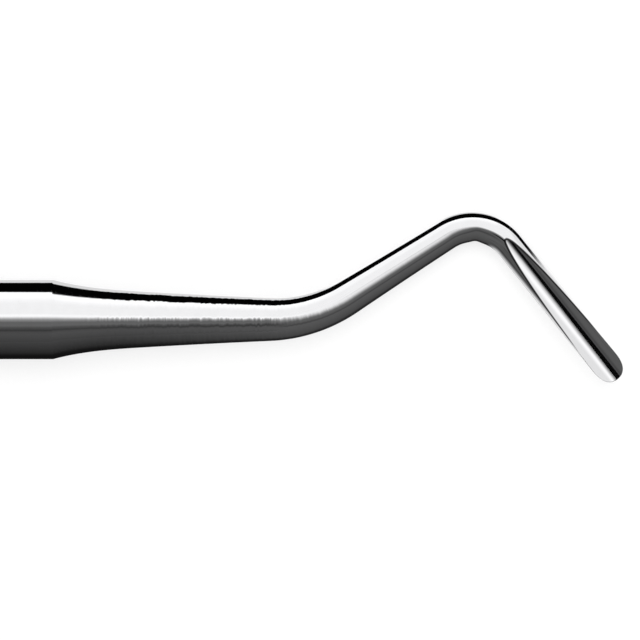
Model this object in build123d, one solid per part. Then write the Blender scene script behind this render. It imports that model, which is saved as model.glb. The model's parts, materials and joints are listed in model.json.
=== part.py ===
from build123d import *
import os
from math import asin, degrees, exp

os.makedirs("parts", exist_ok=True)

# Driving sizes, in millimetres and degrees.
# The elevator is first drawn flat: X runs along the handle towards the blade,
# Y is the side that the shank bends to, and the hollow of the blade faces Z.

# handle, a plain round bar
handle_r = 4.0
handle_len = 100.0
butt_round = 1.6

# neck, the curved step down from the handle, and the taper that follows it
neck_len = 10.1
neck_r = 2.757
neck_waist = 0.9
blade_r = 1.48
taper_power = 1.75

# course of the shank
straight_len = 21.87
bend_radius = 14.65
bend_angle = 32.2
run_len = 11.84
elbow_radius = 4.95
elbow_angle = 83.4
blade_len = 17.4

# dent on the inside of the elbow, where the rod was bent over its former
dent_depth = 0.12
dent_place = 0.45
dent_reach = 0.1

# nose of the blade, rounded over before the hollow is ground
nose_len = 2.25
nose_flat_r = 0.3

# hollow of the blade, a straight round-bottomed groove that sinks towards the nose
hollow_r = 2.1
hollow_lead = 0.8
hollow_sink = 6.65

# Course of the shank's centre line, in the flat drawing plane.
straight = Line((0, 0), (straight_len, 0))
bend = JernArc(start=straight @ 1, tangent=straight % 1, radius=bend_radius, arc_size=bend_angle)
run = Line(bend @ 1, bend @ 1 + (bend % 1) * run_len)
elbow = JernArc(start=run @ 1, tangent=run % 1, radius=elbow_radius, arc_size=-elbow_angle)
elbow_start_s = straight_len + bend.length + run_len
elbow_end_s = elbow_start_s + elbow.length


def shank_radius(s):
    """Radius of the tapering shank at the distance s along its centre line."""
    left = max(elbow_end_s - s, 0) / (elbow_end_s - neck_len)
    return blade_r + (neck_r - blade_r) * left**taper_power


def cross_section(curve, t, s, dent=0):
    """Section of the shank at t on a curve; a dent flattens its inner side."""
    plane = Plane(origin=curve @ t, x_dir=(0, 0, 1), z_dir=curve % t)
    radius = shank_radius(s)
    return plane * Pos(0, -dent / 2) * Ellipse(radius, radius - dent / 2)


# Handle and neck: one turned profile, level with the shank's taper where they meet.
neck_slope = taper_power * (neck_r - blade_r) / (elbow_end_s - neck_len)
neck_third = neck_len / 3
neck_curve = Bezier(
    (0, handle_r),
    (neck_third, handle_r - neck_waist),
    (neck_len - neck_third, neck_r + neck_slope * neck_third),
    (neck_len, neck_r),
)
handle_outline = Polyline(
    (neck_len, neck_r), (neck_len, 0), (-handle_len, 0), (-handle_len, handle_r), (0, handle_r)
)
handle_profile = make_face([handle_outline, neck_curve])
butt_corner = handle_profile.vertices().group_by(Axis.X)[0].sort_by(Axis.Y)[-1]
handle = revolve(fillet(butt_corner, butt_round), axis=Axis.X)

# Shank: a loft through round sections along the centre line.
sections = []
straight_steps = 6
for i in range(straight_steps + 1):
    s = neck_len + (straight_len - neck_len) * i / straight_steps
    sections.append(cross_section(straight, s / straight_len, s))
bend_steps = 8
for i in range(1, bend_steps + 1):
    t = i / bend_steps
    sections.append(cross_section(bend, t, straight_len + t * bend.length))
run_steps = 6
for i in range(1, run_steps + 1):
    t = i / run_steps
    sections.append(cross_section(run, t, elbow_start_s - (1 - t) * run_len))
elbow_steps = 26
for i in range(1, elbow_steps + 1):
    t = i / elbow_steps
    dent = dent_depth * exp(-(((t - dent_place) / dent_reach) ** 2))
    sections.append(cross_section(elbow, t, elbow_end_s - (1 - t) * elbow.length, dent))
shank = loft(sections)

# Blade: the straight end of the rod with a rounded nose, turned about its own axis.
# X runs along it from the end of the elbow, and the hollow side faces Z.
blade_plane = Plane(origin=elbow @ 1, x_dir=elbow % 1, z_dir=(0, 0, 1))
nose_start = blade_len - nose_len
nose_curve = EllipticalCenterArc(
    (nose_start, nose_flat_r), nose_len, blade_r - nose_flat_r, start_angle=0, arc_size=90
)
blade_outline = Polyline(
    (nose_start, blade_r), (0, blade_r), (0, 0), (blade_len, 0), (blade_len, nose_flat_r)
)
blade = blade_plane * revolve(make_face([blade_outline, nose_curve]), axis=Axis.X)

# Hollow: a round cutter that starts on the elbow and leaves through the nose.
cutter_len = hollow_lead + blade_len + 2 * hollow_r
cutter = Cylinder(hollow_r, cutter_len, align=(Align.CENTER, Align.CENTER, Align.MIN))
hollow_start = Pos(-hollow_lead, 0, blade_r) * Rot(0, 90 + hollow_sink, 0)
hollow = hollow_start * Pos(-hollow_r, 0, -hollow_r) * cutter
elevator = handle + shank + blade - blade_plane * hollow

# At rest it lies on the handle and on the side of the elbow, with the hollow up.
crest_t = bend_angle / elbow_angle
crest_height = (elbow @ crest_t).Y
crest_radius = shank_radius(elbow_start_s + crest_t * elbow.length)
rest_roll = degrees(asin((handle_r - crest_radius) / crest_height))
elevator = Rot(-rest_roll, 0, 0) * elevator
box = elevator.bounding_box()
elevator = Pos(-box.center().X, -box.center().Y, -box.min.Z) * elevator

export_step(elevator, "parts/elevator.step")
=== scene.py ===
"""Looks of the dental elevator: a mirror-polished steel hand instrument on a white floor."""

import json
from math import cos, degrees, pi, radians, sin

import bpy
import numpy as np
from mathutils import Matrix, Vector


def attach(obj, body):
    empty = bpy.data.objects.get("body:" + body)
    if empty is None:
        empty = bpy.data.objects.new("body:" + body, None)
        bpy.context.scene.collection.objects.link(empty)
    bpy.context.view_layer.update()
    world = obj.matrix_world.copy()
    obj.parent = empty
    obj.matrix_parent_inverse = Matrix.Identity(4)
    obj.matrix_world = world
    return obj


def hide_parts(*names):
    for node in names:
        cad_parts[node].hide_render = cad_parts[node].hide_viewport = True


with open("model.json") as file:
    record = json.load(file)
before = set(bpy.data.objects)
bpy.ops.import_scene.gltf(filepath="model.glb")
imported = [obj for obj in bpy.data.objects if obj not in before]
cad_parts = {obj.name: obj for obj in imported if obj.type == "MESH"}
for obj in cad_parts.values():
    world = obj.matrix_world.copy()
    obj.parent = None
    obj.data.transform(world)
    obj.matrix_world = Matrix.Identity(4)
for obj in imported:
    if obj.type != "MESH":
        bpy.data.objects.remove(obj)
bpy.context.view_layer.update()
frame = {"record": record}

# Sizes of the instrument, in millimetres, as in the part.

HANDLE_R = 4.0
HANDLE_LEN = 100.0
BUTT_ROUND = 1.6
NECK_LEN = 10.1
NECK_R = 2.757
NECK_WAIST = 0.9
BLADE_R = 1.48
TAPER_POWER = 1.75
STRAIGHT_LEN = 21.87
BEND_RADIUS = 14.65
BEND_ANGLE = radians(32.2)
RUN_LEN = 11.84
ELBOW_RADIUS = 4.95
ELBOW_ANGLE = radians(83.4)
BLADE_LEN = 17.4
DENT_DEPTH = 0.12
DENT_PLACE = 0.45
DENT_REACH = 0.1
NOSE_LEN = 2.25
NOSE_FLAT_R = 0.3
HOLLOW_R = 2.1
HOLLOW_LEAD = 0.8
HOLLOW_SINK = radians(6.65)
REST_ROLL = radians(15.5)  # how far it rolls about the handle to lie on its elbow

# Distances along the centre line, from the crease where the neck leaves the handle.
BEND_START = STRAIGHT_LEN
RUN_START = BEND_START + BEND_RADIUS * BEND_ANGLE
ELBOW_START = RUN_START + RUN_LEN
BLADE_START = ELBOW_START + ELBOW_RADIUS * ELBOW_ANGLE
NOSE_START = BLADE_START + BLADE_LEN - NOSE_LEN
BLADE_TURN = BEND_ANGLE - ELBOW_ANGLE

# Blender works in metres. The flat drawing plane of the instrument lies through the
# handle's axis: ALONG the handle, UP to the side of the bend, TOWARDS the open hollow.
MM = 0.001
handle_mount = frame["record"]["mounts"][0]
half_handle = handle_mount["dims"]["length_mm"] * MM / 2
CREASE = Vector(handle_mount["pos_m"]) + Vector((half_handle, 0, 0))
ALONG = Vector((1, 0, 0))
UP = Vector((0, cos(REST_ROLL), -sin(REST_ROLL)))
TOWARDS = Vector((0, sin(REST_ROLL), cos(REST_ROLL)))
TURN_TO_ROW = Matrix((ALONG, UP, TOWARDS)).transposed().to_4x4()
TO_ROW = Matrix.Translation(CREASE) @ TURN_TO_ROW @ Matrix.Scale(MM, 4)


# Form of the instrument, in the flat drawing plane.


def side_radius(s):
    """Radius of the bar at the distances s along its centre line."""
    s = np.asarray(s, float)
    taper = (NECK_R - BLADE_R) / (BLADE_START - NECK_LEN)
    t = np.clip(s / NECK_LEN, 0, 1)
    third = NECK_LEN / 3
    slope = TAPER_POWER * taper
    neck = (
        (1 - t) ** 3 * HANDLE_R
        + 3 * t * (1 - t) ** 2 * (HANDLE_R - NECK_WAIST)
        + 3 * t**2 * (1 - t) * (NECK_R + slope * third)
        + t**3 * NECK_R
    )
    left = np.clip((BLADE_START - s) / (BLADE_START - NECK_LEN), 0, 1)
    shank = BLADE_R + (NECK_R - BLADE_R) * left**TAPER_POWER
    over = np.clip((s - NOSE_START) / NOSE_LEN, 0, 1)
    nose = NOSE_FLAT_R + (BLADE_R - NOSE_FLAT_R) * np.sqrt(1 - over**2)
    edge = np.clip(BUTT_ROUND - (s + HANDLE_LEN), 0, BUTT_ROUND)
    butt = HANDLE_R - BUTT_ROUND + np.sqrt(BUTT_ROUND**2 - edge**2)
    return np.select([s <= 0, s < NECK_LEN, s < NOSE_START], [butt, neck, shank], nose)


def dent(s):
    """How far the inside of the elbow is pressed in."""
    place = (s - ELBOW_START) / (BLADE_START - ELBOW_START)
    return DENT_DEPTH * np.exp(-(((place - DENT_PLACE) / DENT_REACH) ** 2))


def ahead_of(heading):
    return np.array((cos(heading), sin(heading)))


def left_of(heading):
    return np.array((-sin(heading), cos(heading)))


def arc_centre(start, heading, radius, side):
    """Centre of an arc that turns left for a side of 1 and right for -1."""
    return start + radius * side * left_of(heading)


def arc_end(start, heading, radius, angle):
    """End of an arc that turns left by the angle, or right if it is negative."""
    side = 1 if angle > 0 else -1
    return arc_centre(start, heading, radius, side) - radius * side * left_of(heading + angle)


BEND_POINT = np.array((STRAIGHT_LEN, 0.0))
RUN_POINT = arc_end(BEND_POINT, 0, BEND_RADIUS, BEND_ANGLE)
ELBOW_POINT = RUN_POINT + RUN_LEN * ahead_of(BEND_ANGLE)
BLADE_POINT = arc_end(ELBOW_POINT, BEND_ANGLE, ELBOW_RADIUS, -ELBOW_ANGLE)


def centre_line(s):
    """Point and heading of the centre line at the distance s."""
    if s <= BEND_START:
        return np.array((s, 0.0)), 0.0
    if s <= RUN_START:
        turned = (s - BEND_START) / BEND_RADIUS
        return arc_end(BEND_POINT, 0, BEND_RADIUS, turned), turned
    if s <= ELBOW_START:
        return RUN_POINT + (s - RUN_START) * ahead_of(BEND_ANGLE), BEND_ANGLE
    if s < BLADE_START:
        turned = (s - ELBOW_START) / ELBOW_RADIUS
        return arc_end(ELBOW_POINT, BEND_ANGLE, ELBOW_RADIUS, -turned), BEND_ANGLE - turned
    return BLADE_POINT + (s - BLADE_START) * ahead_of(BLADE_TURN), BLADE_TURN


BAR_SIDES = 128
CUTTER_SIDES = 240


def angles_round(sides):
    return np.arange(sides) * 2 * pi / sides


def ring(s):
    """Points round the bar at the distance s."""
    (x, y), heading = centre_line(s)
    angle = angles_round(BAR_SIDES)
    radius = side_radius(s)
    press = dent(s)
    out = press / 2 + (radius - press / 2) * np.sin(angle)
    return np.stack([x - sin(heading) * out, y + cos(heading) * out, radius * np.cos(angle)], axis=1)


def stations():
    """Distances along the centre line at which the bar has a ring of points."""
    quarter = np.linspace(0, pi / 2, 12)
    stretches = [
        -HANDLE_LEN + BUTT_ROUND * (1 - np.cos(quarter)),
        np.linspace(-HANDLE_LEN + BUTT_ROUND, 0, 12),
        np.linspace(0, NECK_LEN, 40),
        np.linspace(NECK_LEN, BEND_START, 20),
        np.linspace(BEND_START, RUN_START, 30),
        np.linspace(RUN_START, ELBOW_START, 20),
        np.linspace(ELBOW_START, BLADE_START, 80),
        np.linspace(BLADE_START, NOSE_START, 60),
        NOSE_START + NOSE_LEN * np.sin(quarter),
    ]
    return np.unique(np.round(np.concatenate(stretches), 6))


def tube_mesh(name, rings):
    """A closed tube through rings of points that turn anticlockwise, seen from outside the first."""
    sides = len(rings[0])
    points = np.concatenate(rings)
    faces = [tuple(range(sides)), tuple(reversed(range(len(points) - sides, len(points))))]
    for start in range(0, len(points) - sides, sides):
        for k in range(sides):
            a, b = start + k, start + (k + 1) % sides
            faces.append((a, a + sides, b + sides, b))
    mesh = bpy.data.meshes.new(name)
    mesh.from_pydata(points.tolist(), [], faces)
    return mesh


def bar_mesh():
    return tube_mesh("bar", [ring(s) for s in stations()])


# Axis of the round hollow: its floor starts level with the blade and sinks to the nose.
BLADE_WAY = np.array((*ahead_of(BLADE_TURN), 0))
LIFT = np.array((0, 0, 1.0))
HOLLOW_WAY = BLADE_WAY * cos(HOLLOW_SINK) - LIFT * sin(HOLLOW_SINK)
HOLLOW_OUT = LIFT * cos(HOLLOW_SINK) + BLADE_WAY * sin(HOLLOW_SINK)
HOLLOW_FLOOR = np.array((*BLADE_POINT, BLADE_R)) - BLADE_WAY * HOLLOW_LEAD
HOLLOW_AXIS = HOLLOW_FLOOR + HOLLOW_OUT * HOLLOW_R


def hollow_mesh():
    """The round cutter that the hollow is ground with, from its far end to its near one."""
    across = np.cross(HOLLOW_WAY, HOLLOW_OUT)
    angle = angles_round(CUTTER_SIDES)
    rim = HOLLOW_R * (np.outer(np.cos(angle), HOLLOW_OUT) + np.outer(np.sin(angle), across))
    steps = np.linspace(HOLLOW_LEAD + BLADE_LEN + 2 * HOLLOW_R, -2 * HOLLOW_R, 80)
    return tube_mesh("hollow", [HOLLOW_AXIS + HOLLOW_WAY * step + rim for step in steps])


def from_hollow_axis(points):
    """The way from the hollow's axis to each point, square to the axis."""
    away = points - HOLLOW_AXIS
    return away - np.outer(away @ HOLLOW_WAY, HOLLOW_WAY)


def straighten(points):
    """Each point as (distance along the centre line, out to the left, towards the hollow side)."""
    best = np.full(len(points), np.inf)
    found = np.zeros((len(points), 3))
    flat_points = points[:, :2]
    slack = 1e-6  # at the ends of a stretch

    def keep(s, out):
        miss = np.abs(out)
        better = miss < best - 1e-9
        best[better] = miss[better]
        found[better] = np.stack([s, out, points[:, 2]], axis=1)[better]

    straights = (
        (np.array((0.0, 0.0)), 0.0, 0.0, -HANDLE_LEN, BEND_START),
        (RUN_POINT, BEND_ANGLE, RUN_START, 0, RUN_LEN),
        (BLADE_POINT, BLADE_TURN, BLADE_START, 0, BLADE_LEN),
    )
    for start, heading, first, low, high in straights:
        away = flat_points - start
        ahead = away @ ahead_of(heading)
        out = away @ left_of(heading)
        inside = (ahead >= low - slack) & (ahead <= high + slack)
        keep(first + ahead, np.where(inside, out, np.inf))
    arcs = (
        (BEND_POINT, 0.0, BEND_START, BEND_RADIUS, BEND_ANGLE),
        (ELBOW_POINT, BEND_ANGLE, ELBOW_START, ELBOW_RADIUS, -ELBOW_ANGLE),
    )
    for start, heading, first, radius, angle in arcs:
        side = 1 if angle > 0 else -1
        away = (flat_points - arc_centre(start, heading, radius, side)) * side
        turned = np.arctan2(away[:, 0], -away[:, 1]) - heading
        turned = ((turned + pi) % (2 * pi) - pi) * side
        out = (radius - np.hypot(away[:, 0], away[:, 1])) * side
        inside = (turned >= -slack) & (turned <= abs(angle) + slack)
        keep(first + turned * radius, np.where(inside, out, np.inf))
    return found


def headings(s):
    return np.array([centre_line(one)[1] for one in s])


def read(items, name, width=1, kind=np.float32):
    """One property of all the items, with a row for each item where it is wider than 1."""
    values = np.empty(len(items) * width, kind)
    items.foreach_get(name, values)
    return values.reshape(-1, width) if width > 1 else values


def true_normals(mesh, points, course):
    """Normals of the turned and ground surfaces themselves, for every face corner."""
    corner = read(mesh.loops, "vertex_index", kind=np.int32)
    sizes = read(mesh.polygons, "loop_total", kind=np.int32)
    face_of = np.repeat(np.arange(len(sizes)), sizes)
    in_hollow = read(mesh.polygons, "material_index", kind=np.int32)[face_of] == 1
    flat_normal = read(mesh.polygons, "normal", 3)[face_of]

    # The bar's slope is taken a little inside each face, so that the crease stays sharp.
    s = course[corner, 0]
    face_s = (np.bincount(face_of, s) / sizes)[face_of]
    inner_s = s + 0.02 * (face_s - s)
    step = 1e-3
    slope = (side_radius(inner_s + step) - side_radius(inner_s - step)) / (2 * step)
    heading = headings(course[:, 0])[corner]
    press = dent(s)
    out = course[corner, 1] - press / 2
    squash = side_radius(s) / (side_radius(s) - press / 2)
    outward = np.stack([out * squash**2, course[corner, 2]], axis=1)
    outward /= np.linalg.norm(outward, axis=1, keepdims=True)
    normal = np.stack(
        [
            -np.sin(heading) * outward[:, 0] - slope * np.cos(heading),
            np.cos(heading) * outward[:, 0] - slope * np.sin(heading),
            outward[:, 1],
        ],
        axis=1,
    )
    normal = np.where(in_hollow[:, None], -from_hollow_axis(points[corner]), normal)
    on_butt = flat_normal[:, 0] < -0.9999
    normal = np.where(on_butt[:, None], flat_normal, normal)
    return normal / np.linalg.norm(normal, axis=1, keepdims=True)


def rim_distance(points, course):
    """Distance of each point from the rims of the hollow, in millimetres."""
    away = from_hollow_axis(points)
    from_axis = np.linalg.norm(away, axis=1)
    heading = headings(course[:, 0])
    out = course[:, 1]
    radial = np.stack([-np.sin(heading) * out, np.cos(heading) * out, course[:, 2]], axis=1)
    from_centre = np.linalg.norm(radial, axis=1)
    cosine = np.sum(away * radial, axis=1) / np.maximum(from_axis * from_centre, 1e-6)
    sine = np.sqrt(np.clip(1 - cosine**2, 0.01, 1))
    miss = np.abs(from_axis - HOLLOW_R) + np.abs(from_centre - side_radius(course[:, 0]))
    far = 10.0
    return np.where(course[:, 0] > BLADE_START - 2 * HOLLOW_LEAD, miss / sine, far)


def ground_mesh(steel):
    """The bar with the hollow ground into it, whose faces have material index 1."""
    bar = bpy.data.objects.new("bar", bar_mesh())
    cutter = bpy.data.objects.new("hollow", hollow_mesh())
    for item in (bar, cutter):
        bpy.context.scene.collection.objects.link(item)
        item.data.materials.append(steel)
        item.data.materials.append(steel)
    cutter.data.polygons.foreach_set("material_index", [1] * len(cutter.data.polygons))
    grind = bar.modifiers.new("grind", "BOOLEAN")
    grind.operation = "DIFFERENCE"
    grind.solver = "EXACT"
    grind.material_mode = "INDEX"
    grind.object = cutter
    ground = bar.evaluated_get(bpy.context.evaluated_depsgraph_get())
    mesh = bpy.data.meshes.new_from_object(ground)
    bpy.data.objects.remove(bar)
    bpy.data.objects.remove(cutter)
    return mesh


def make_instrument(steel):
    mesh = ground_mesh(steel)
    points = read(mesh.vertices, "co", 3).astype(float)
    course = straighten(points)
    rim = rim_distance(points, course)
    normals = true_normals(mesh, points, course)
    mesh.polygons.foreach_set("material_index", [0] * len(mesh.polygons))
    mesh.materials.pop(index=1)
    mesh.shade_smooth()
    attribute = mesh.attributes.new("course", "FLOAT_VECTOR", "POINT")
    attribute.data.foreach_set("vector", course.astype(np.float32).ravel())
    attribute = mesh.attributes.new("rim_distance", "FLOAT", "POINT")
    attribute.data.foreach_set("value", rim.astype(np.float32))
    mesh.transform(TO_ROW)
    turn = np.array((ALONG, UP, TOWARDS))
    mesh.normals_split_custom_set((normals @ turn).tolist())
    instrument = bpy.data.objects.new("elevator_polished", mesh)
    bpy.context.scene.collection.objects.link(instrument)
    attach(instrument, "root")
    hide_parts("elevator")


TOP_LEVEL = 1.5  # brightest level that a ramp can hold
STEEL_TINT = (1.0, 1.0, 1.012)


class Nodes:
    """Short ways to add shader nodes to one tree."""

    def __init__(self, owner):
        owner.use_nodes = True
        self.tree = owner.node_tree
        self.tree.nodes.clear()

    def add(self, kind, **settings):
        node = self.tree.nodes.new(kind)
        for name, value in settings.items():
            setattr(node, name, value)
        return node

    def join(self, value, socket):
        if isinstance(value, bpy.types.NodeSocket):
            self.tree.links.new(value, socket)
        else:
            socket.default_value = value

    def math(self, operation, *values, clamp=False):
        node = self.add("ShaderNodeMath", operation=operation, use_clamp=clamp)
        for value, socket in zip(values, node.inputs):
            self.join(value, socket)
        return node.outputs[0]

    def dot(self, a, b):
        node = self.add("ShaderNodeVectorMath", operation="DOT_PRODUCT")
        self.join(a, node.inputs[0])
        self.join(tuple(b), node.inputs[1])
        return node.outputs["Value"]

    def step(self, value, low, high):
        """0 at low and 1 at high, with a smooth run between them."""
        node = self.add("ShaderNodeMapRange", interpolation_type="SMOOTHSTEP")
        self.join(value, node.inputs["Value"])
        self.join(low, node.inputs["From Min"])
        self.join(high, node.inputs["From Max"])
        return node.outputs["Result"]

    def angle(self, a, b):
        """Angle from the direction of b towards that of a, in degrees."""
        return self.math("MULTIPLY", self.math("ARCTAN2", a, b), degrees(1))

    def power(self, value, exponent):
        return self.math("POWER", self.math("ABSOLUTE", value), float(exponent))

    def product(self, first, *others):
        for other in others:
            first = self.math("MULTIPLY", first, other)
        return first

    def mix(self, factor, a, b):
        """a where the factor is 0 and b where it is 1, for plain numbers."""
        node = self.add("ShaderNodeMix", data_type="FLOAT")
        for value, socket in zip((factor, a, b), (node.inputs[0], node.inputs[2], node.inputs[3])):
            self.join(value, socket)
        return node.outputs[0]

    def ramp(self, value, stops):
        """Levels along a value, as (value, level) pairs in rising order."""
        low, high = stops[0][0], stops[-1][0]
        node = self.add("ShaderNodeFloatCurve")
        spread = self.add("ShaderNodeMapRange")
        self.join(value, spread.inputs["Value"])
        self.join(low, spread.inputs["From Min"])
        self.join(high, spread.inputs["From Max"])
        self.join(spread.outputs["Result"], node.inputs["Value"])
        curve = node.mapping.curves[0]
        while len(curve.points) < len(stops):
            curve.points.new(0.5, 0.5)
        for point, (place, level) in zip(curve.points, stops):
            point.location = ((place - low) / (high - low), level / TOP_LEVEL)
            point.handle_type = "VECTOR"
        node.mapping.update()
        return self.math("MULTIPLY", node.outputs[0], TOP_LEVEL)

    def noise(self, place, grains, detail):
        """Noise about 0.5 with so many grains in a unit of each axis."""
        scaled = self.add("ShaderNodeVectorMath", operation="MULTIPLY")
        self.join(place, scaled.inputs[0])
        self.join(grains, scaled.inputs[1])
        node = self.add("ShaderNodeTexNoise")
        self.join(scaled.outputs[0], node.inputs["Vector"])
        self.join(1.0, node.inputs["Scale"])
        self.join(detail, node.inputs["Detail"])
        return node.outputs[0]

    def grey(self, level):
        """Colour of steel at a level, a touch bluer than grey."""
        node = self.add("ShaderNodeCombineColor")
        for share, socket in zip(STEEL_TINT, node.inputs):
            self.join(self.math("MULTIPLY", level, share), socket)
        return node.outputs[0]

    def tilt(self, normal, axis, amount):
        """The normal, turned a little about an axis."""
        sideways = self.add("ShaderNodeVectorMath", operation="CROSS_PRODUCT")
        self.join(tuple(axis), sideways.inputs[0])
        self.join(normal, sideways.inputs[1])
        scaled = self.add("ShaderNodeVectorMath", operation="SCALE")
        self.join(sideways.outputs[0], scaled.inputs[0])
        self.join(amount, scaled.inputs["Scale"])
        total = self.add("ShaderNodeVectorMath", operation="ADD")
        self.join(normal, total.inputs[0])
        self.join(scaled.outputs[0], total.inputs[1])
        unit = self.add("ShaderNodeVectorMath", operation="NORMALIZE")
        self.join(total.outputs[0], unit.inputs[0])
        return unit.outputs[0]


# Studio, which the polished steel reflects.

AMBIENT = 0.8  # level of the room's light on the floor
BLACK = 0.002
DEEP_BLACK = 0.0008
WHITE_RIGHT = 1.08  # the white high on the bright side, to the right of the handle
WHITE_LEFT = 1.18
WHITE_FAR = 0.93
WHITE_PATCH = 1.22
LEAN = 18.0  # degrees
LEAN_REACH = 0.12
STAND_ALONG, STAND_UP = -0.115, -0.165  # its direction

# What the studio shows round the handle, as (angle, level); the blade's end sees it so.
STUDIO_LEVELS = [
    (-180, 0.50),
    (-160, 0.022),
    (-134, 0.024),
    (-116, 0.072),
    (-66, 0.105),
    (-41, 0.112),
    (-30, 0.062),
    (-17, 0.120),
    (-7, 0.145),
    (0, 0.370),
    (10, 1.080),
    (48, 1.090),
    (60, 1.180),
    (72, 1.300),
    (90, 1.300),
    (98, 1.000),
    (180, 0.700),
]
# The same to the far left.
LEFT_LEVELS = [
    (-180, 0.90),
    (-157, 0.97),
    (-138, 0.61),
    (-120, 0.23),
    (-101, 0.055),
    (-82, 0.110),
    (0, 0.115),
]
# The grey screen close above the handle and the straight of the shank, seen from them.
SCREEN_LEVELS = [
    (-66, 0.090),
    (-50, 0.105),
    (-38, 0.105),
    (-29, 0.045),
    (-21, 0.090),
    (-16, 0.145),
    (-7, 0.140),
    (0, 0.330),
    (4, 0.640),
    (8, 1.140),
    (11, 1.230),
    (16, 1.090),
]
# How much the dark cloth covers, by height above the handle's axis in millimetres.
CLOTH_COVER = [(-60, 0.75), (-5, 0.78), (-2, 0.66), (3, 0.52), (10, 0.35), (30, 0.0)]


def make_world():
    world = bpy.data.worlds.new("studio")
    bpy.context.scene.world = world
    n = Nodes(world)
    direction = n.add("ShaderNodeTexCoord").outputs["Generated"]
    along = n.dot(direction, ALONG)
    up = n.dot(direction, UP)
    towards = n.dot(direction, TOWARDS)
    # Angle round the handle: 0 is straight above it, 90 is the side that the shank bends to.
    turn = n.angle(up, towards)
    # Share of the sideways direction that runs along the handle, from -1 to 1.
    side = n.math("DIVIDE", along, n.math("SQRT", n.math("SUBTRACT", 1.0001, n.power(towards, 2))))

    # The bright side reaches further down where the steel faces the blade's end.
    reach = n.math("MULTIPLY", n.math("MAXIMUM", along, 0.0), -1 / LEAN_REACH)
    lean = n.math("MULTIPLY", n.math("SUBTRACT", 1.0, n.math("EXPONENT", reach)), LEAN)
    near = n.product(n.step(turn, -65.0, -35.0), n.step(turn, 25.0, 5.0))
    level = n.ramp(n.math("ADD", turn, n.math("MULTIPLY", lean, near)), STUDIO_LEVELS)

    # The strip of white high on the bright side ends right of the handle.
    high = n.step(turn, 40.0, 60.0)
    level = n.mix(n.product(high, n.step(side, 0.38, 0.52)), level, WHITE_RIGHT)
    # To the left of the blade it is only a little whiter than the rest.
    level = n.mix(n.product(high, n.step(side, -0.30, -0.50)), level, WHITE_LEFT)
    # Far right it is a little dimmer, with a brighter patch just before.
    far = n.product(n.step(along, 0.60, 0.72), n.step(turn, -20.0, 0.0))
    level = n.mix(far, level, WHITE_FAR)
    across = n.product(n.step(along, 0.36, 0.46), n.step(along, 0.62, 0.54))
    patch = n.product(across, n.step(turn, -22.0, -8.0), n.step(turn, 28.0, 16.0))
    level = n.mix(patch, level, WHITE_PATCH)
    # The dark side is a little lighter to the left, and the backdrop shows below it there.
    left_dark = n.product(n.step(side, -0.35, -0.72), n.step(turn, -12.0, -30.0))
    level = n.mix(left_dark, level, n.ramp(turn, LEFT_LEVELS))
    # A black stand beside the lens shows just left of the middle.
    past = n.power(n.math("SUBTRACT", along, STAND_ALONG), 2)
    above = n.power(n.math("SUBTRACT", up, STAND_UP), 2)
    stand = n.product(n.step(n.math("ADD", past, above), 0.016, 0.004), n.step(along, -0.05, -0.08))
    level = n.mix(stand, level, BLACK)

    light_path = n.add("ShaderNodeLightPath")
    seen = n.math(
        "ADD", light_path.outputs["Is Glossy Ray"], light_path.outputs["Is Transmission Ray"], clamp=True
    )
    plain = n.mix(light_path.outputs["Is Camera Ray"], AMBIENT, 1.0)
    background = n.add("ShaderNodeBackground")
    n.join(n.mix(seen, plain, level), background.inputs["Color"])
    n.join(background.outputs[0], n.add("ShaderNodeOutputWorld").inputs["Surface"])


def make_card(name, corners, finish):
    """A studio card that only reflections see, with its corners in millimetres from the crease.

    finish(n, along, up, towards) gives the card's level and how much of the rest it covers.
    """
    mesh = bpy.data.meshes.new(name)
    mesh.from_pydata([TO_ROW @ Vector(c) for c in corners], [], [tuple(range(len(corners)))])
    card = bpy.data.objects.new(name, mesh)
    bpy.context.scene.collection.objects.link(card)
    card.visible_camera = False
    card.visible_diffuse = False
    card.visible_shadow = False
    material = bpy.data.materials.new(name)
    n = Nodes(material)
    position = n.add("ShaderNodeNewGeometry").outputs["Position"]
    places = []
    for axis in (ALONG, UP, TOWARDS):
        places.append(n.math("SUBTRACT", n.dot(position, axis / MM), CREASE.dot(axis) / MM))
    level, cover = finish(n, *places)
    glow = n.add("ShaderNodeEmission")
    n.join(level, glow.inputs["Strength"])
    blend = n.add("ShaderNodeMixShader")
    n.join(cover, blend.inputs[0])
    n.join(n.add("ShaderNodeBsdfTransparent").outputs[0], blend.inputs[1])
    n.join(glow.outputs[0], blend.inputs[2])
    n.join(blend.outputs[0], n.add("ShaderNodeOutputMaterial").inputs["Surface"])
    mesh.materials.append(material)


CARDS_START = -220  # where the long cards start, well behind the butt


def make_card_beyond():
    """The black card beyond the handle, which ends just right of the elbow's view of it."""
    beyond, end = 60, 125
    top = [(CARDS_START, 3.5), (-20, 3.5), (0, 6), (20, 9), (42, 9), (62, 5), (85, 1), (end, 2)]
    foot = [(end, -62), (60, -60), (40, -56), (22, -51), (10, -52), (-2, -59), (CARDS_START, -61)]
    make_card(
        "card_beyond",
        [(x, beyond, z) for x, z in top + foot],
        lambda n, along, up, towards: (DEEP_BLACK, n.step(along, end - 4.0, end - 9.5)),
    )


def make_cloth():
    """A thin dark cloth on the near side, by the handle, which thins out to its end."""
    near, end, top, foot = -14, 32, 30, -60
    make_card(
        "cloth_near",
        [(CARDS_START, near, top), (end, near, top), (end, near, foot), (CARDS_START, near, foot)],
        lambda n, along, up, towards: (
            BLACK,
            n.product(n.step(along, end, end - 30), n.ramp(towards, CLOTH_COVER)),
        ),
    )


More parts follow.
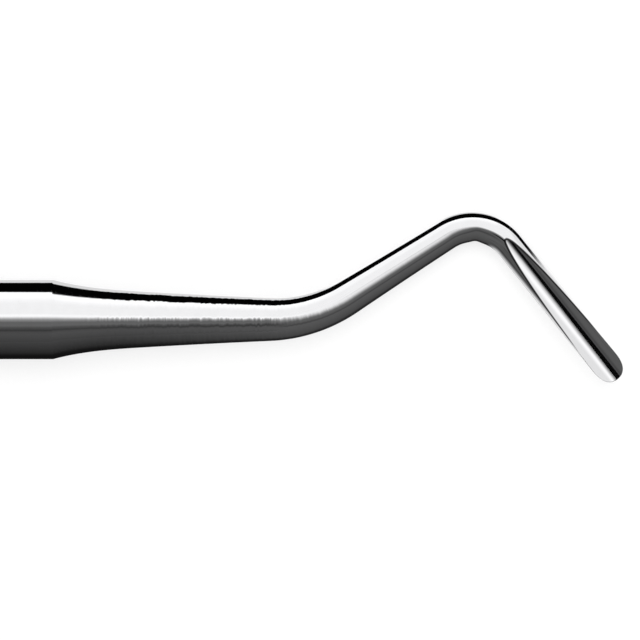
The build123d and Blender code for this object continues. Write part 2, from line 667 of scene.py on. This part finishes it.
def make_screen():
    """The grey screen above the handle."""
    height, end, left, right = 20, 30, 9.5, -45
    sides = [(CARDS_START, right), (end, right), (end, left), (CARDS_START, left)]
    make_card(
        "screen_above",
        [(x, y, height) for x, y in sides],
        lambda n, along, up, towards: (
            n.ramp(n.angle(up, towards), SCREEN_LEVELS),
            n.product(n.step(along, end - 1, end - 8), n.step(up, right + 1, right + 9)),
        ),
    )


def make_strip():
    """The black strip above the blade that its hollow reflects, with one soft edge."""
    height, soft = 15, 6.0
    start, end = Vector((46.1, 4.6)), Vector((66, -11.8))
    strip = [start, (60.3, -7.2), end, (60, -16.3), (55.3, -11.9), (49.8, -4.9), (45.2, 2.0)]
    make_card(
        "strip_above",
        [(x, y, height) for x, y in strip],
        lambda n, along, up, towards: (BLACK, 1.0),
    )
    across = Vector((start.y - end.y, end.x - start.x)).normalized()

    def edge(n, along, up, towards):
        along_part = n.math("MULTIPLY", n.math("SUBTRACT", along, start.x), across.x)
        up_part = n.math("MULTIPLY", n.math("SUBTRACT", up, start.y), across.y)
        return BLACK, n.step(n.math("ADD", along_part, up_part), soft, -0.4 * soft)

    corners = (start, end, end + across * soft, start + across * soft)
    make_card("strip_edge", [(x, y, height) for x, y in corners], edge)


FLOOR_COLOUR = 0.42
FLOOR_GLOW = 0.62  # what the camera sees of it besides, so that it is white but keeps a shadow


def make_floor():
    mesh = bpy.data.meshes.new("floor")
    half = 3.0  # metres
    mesh.from_pydata(
        [(-half, -half, 0), (half, -half, 0), (half, half, 0), (-half, half, 0)], [], [(0, 1, 2, 3)]
    )
    floor = bpy.data.objects.new("floor", mesh)
    bpy.context.scene.collection.objects.link(floor)
    floor.visible_glossy = False
    material = bpy.data.materials.new("white_floor")
    n = Nodes(material)
    shader = n.add("ShaderNodeBsdfDiffuse")
    shader.inputs["Color"].default_value = (FLOOR_COLOUR, FLOOR_COLOUR, FLOOR_COLOUR, 1)
    glow = n.add("ShaderNodeEmission")
    camera_ray = n.add("ShaderNodeLightPath").outputs["Is Camera Ray"]
    n.join(n.math("MULTIPLY", camera_ray, FLOOR_GLOW), glow.inputs["Strength"])
    both = n.add("ShaderNodeAddShader")
    n.join(shader.outputs[0], both.inputs[0])
    n.join(glow.outputs[0], both.inputs[1])
    n.join(both.outputs[0], n.add("ShaderNodeOutputMaterial").inputs["Surface"])
    mesh.materials.append(material)


LAMP_PLACE = Vector((0.05, 0.45, 0.8))
LAMP_SIZE = 0.6
LAMP_POWER = 3.4


def make_lamp():
    lamp = bpy.data.lights.new("soft_key", "AREA")
    lamp.shape = "DISK"
    lamp.size = LAMP_SIZE
    lamp.energy = LAMP_POWER
    holder = bpy.data.objects.new("soft_key", lamp)
    bpy.context.scene.collection.objects.link(holder)
    holder.location = LAMP_PLACE
    holder.rotation_euler = (-LAMP_PLACE).to_track_quat("-Z", "Y").to_euler()
    holder.visible_glossy = False


# Steel. Places along the bar are in millimetres from the crease.

POLISH_LEVEL = 0.78
# Painted shade: base colour level along the rims of the hollow.
PAINTED_RIM_SHADE_LEVEL = 0.05
GLOSS = 0.036
CLOUD_LEVEL = 0.05  # how much lighter the polish is where it is cloudy
CLOUD_DULL = 0.03  # and how much duller
NECK_DULL = 0.045
BEVEL = 0.07
STROKE_TILT = 0.015
SHANK_STROKE_TILT = 0.17
RING_TILT = 0.10
# Grains in a millimetre along the bar, to the left and towards the hollow's side.
CLOUD_GRAINS = (1.1, 1.1, 1.1)
STROKE_GRAINS = (4.2, 0.7, 0.7)
RING_GRAINS = (7.0, 0.0, 0.0)


def make_steel():
    material = bpy.data.materials.new("polished_steel")
    n = Nodes(material)
    shader = n.add("ShaderNodeBsdfPrincipled")
    course = n.add("ShaderNodeAttribute", attribute_name="course").outputs["Vector"]
    place = n.add("ShaderNodeSeparateXYZ")
    n.join(course, place.inputs[0])
    s = place.outputs["X"]

    # Painted shade: the base colour goes nearly black along the rims of the hollow, except near the
    # nose.
    rim = n.add("ShaderNodeAttribute", attribute_name="rim_distance").outputs["Fac"]
    painted_rim_shade = n.product(n.step(rim, 0.15, 0.06), n.step(s, BLADE_START + 13.0, BLADE_START + 10.5))
    # The polish is a little cloudy, in grains of about a millimetre.
    cloud = n.noise(course, CLOUD_GRAINS, 4.0)
    bright = n.math("ADD", POLISH_LEVEL, n.math("MULTIPLY", cloud, CLOUD_LEVEL))
    n.join(n.grey(n.mix(painted_rim_shade, bright, PAINTED_RIM_SHADE_LEVEL)), shader.inputs["Base Color"])
    shader.inputs["Metallic"].default_value = 1.0
    # It is duller on the neck, where the polishing wheel can't reach the crease.
    on_neck = n.product(n.step(s, -0.2, 0.0), n.step(s, 9.0, 2.0))
    duller = n.math("ADD", n.math("MULTIPLY", on_neck, NECK_DULL), n.math("MULTIPLY", cloud, CLOUD_DULL))
    n.join(n.math("ADD", GLOSS, duller), shader.inputs["Roughness"])

    bevel = n.add("ShaderNodeBevel", samples=8)
    bevel.inputs["Radius"].default_value = BEVEL * MM
    # Short strokes of the polishing wheel round the bar tilt the surface a little.
    strokes = n.math("SUBTRACT", n.noise(course, STROKE_GRAINS, 2.0), 0.5)
    on_shank = n.product(n.step(s, 2.0, 8.0), n.step(s, 30.0, 22.0))
    stroke_tilt = n.math("ADD", STROKE_TILT, n.math("MULTIPLY", on_shank, SHANK_STROKE_TILT))
    # Fine rings turned beside the crease tilt it along the bar.
    rings = n.math("SUBTRACT", n.noise(course, RING_GRAINS, 1.0), 0.5)
    by_crease = n.product(n.step(s, -0.1, 0.3), n.step(s, 2.2, 0.8))
    ring_tilt = n.math("MULTIPLY", by_crease, RING_TILT)
    tilted = n.tilt(bevel.outputs[0], ALONG, n.math("MULTIPLY", strokes, stroke_tilt))
    tilted = n.tilt(tilted, TOWARDS.cross(ALONG), n.math("MULTIPLY", rings, ring_tilt))
    n.join(tilted, shader.inputs["Normal"])
    n.join(shader.outputs[0], n.add("ShaderNodeOutputMaterial").inputs["Surface"])
    return material


PHOTO_WIDTH = 64.64  # millimetres across the photograph
PHOTO_CENTRE = (26.942, -0.035)  # its middle, in millimetres from the crease
LONG_LENS = 400


def make_camera():
    data = bpy.data.cameras.new("camera")
    data.lens = LONG_LENS
    data.clip_end = 100
    camera = bpy.data.objects.new("camera", data)
    bpy.context.scene.collection.objects.link(camera)
    bpy.context.scene.camera = camera
    distance = PHOTO_WIDTH * data.lens / data.sensor_width
    place = TO_ROW @ Vector((*PHOTO_CENTRE, distance))
    camera.matrix_world = Matrix.Translation(place) @ TURN_TO_ROW


make_world()
make_card_beyond()
make_cloth()
make_screen()
make_strip()
make_floor()
make_lamp()
make_instrument(make_steel())
make_camera()

bpy.context.scene.view_settings.view_transform = "Standard"
